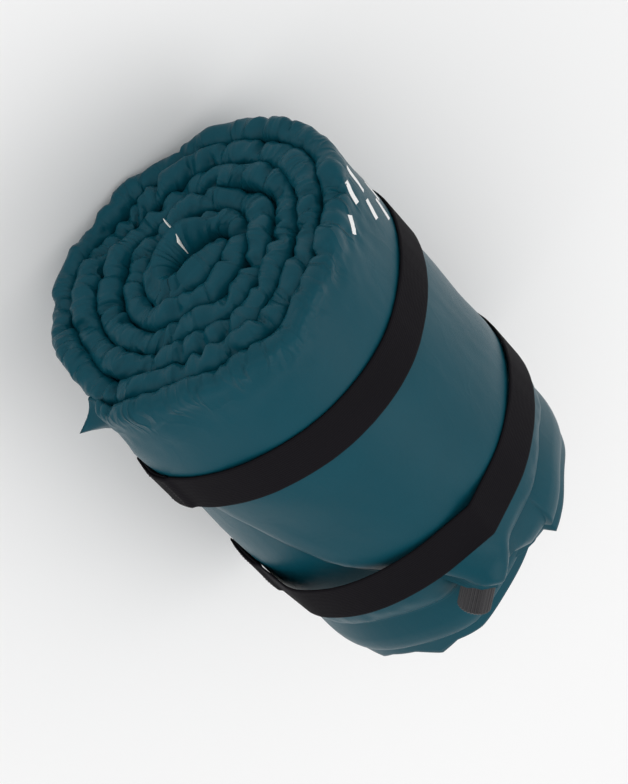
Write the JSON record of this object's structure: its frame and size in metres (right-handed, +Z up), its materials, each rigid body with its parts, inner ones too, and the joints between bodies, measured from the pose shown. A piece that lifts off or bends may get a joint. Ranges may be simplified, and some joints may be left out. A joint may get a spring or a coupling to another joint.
{
  "type": "rolled sleeping mat",
  "caption": "Self-inflating sleeping mat, folded lengthwise, rolled up and held by elastic bands, with a ribbed screw valve on a cut corner.",
  "frame": {"origin": "middle of the roll's footprint, on the ground that the bands' soles rest on", "axes": "+X along the roll, from the folded end to the open end with the valve; +Z up, with the roll lying on its side; the mat's last edge hangs on the -Y side"},
  "size_m": [0.3038, 0.2182, 0.1935],
  "materials": {
    "base_fabric": "matte",
    "top_fabric": "matte",
    "foam": "matte",
    "elastic": "matte",
    "thread": "satin",
    "label": "satin",
    "valve_plastic": "satin",
    "cap_plastic": "satin",
    "seal_rubber": "matte"
  },
  "bodies": {
    "mat": {"base_fabric": "base_fabric", "foam_core": "foam", "top_fabric": "top_fabric", "care_label": "label", "valve_body": "valve_plastic"},
    "near_band": {"band_near": "elastic", "band_near_stitching": "thread"},
    "far_band": {"band_far": "elastic", "band_far_stitching": "thread"},
    "plunger": {"valve_plunger": "valve_plastic", "valve_seal": "seal_rubber"},
    "cap": {"valve_cap": "cap_plastic"}
  },
  "joints": [
    {"name": "near_band_slide", "type": "slide", "parent": "mat", "child": "near_band", "axis": [-1, 0, 0], "range_m": [0, 0.112]},
    {"name": "far_band_slide", "type": "slide", "parent": "mat", "child": "far_band", "axis": [-1, 0, 0], "range_m": [0, 0.099]},
    {"name": "valve_lift", "type": "slide", "parent": "mat", "child": "plunger", "axis": [0.7071, -0.7071, 0.0009], "range_m": [0, 0.0035]},
    {"name": "cap_turn", "type": "hinge", "parent": "plunger", "child": "cap", "pos_m": [0.10542, 0.00191, 0.18315], "axis": [0.7071, -0.7071, 0.0009], "range_deg": [0, 360]}
  ],
  "couplings": [
    {"joint": "valve_lift", "follows": "cap_turn", "m_per_rad": 0.000557}
  ]
}
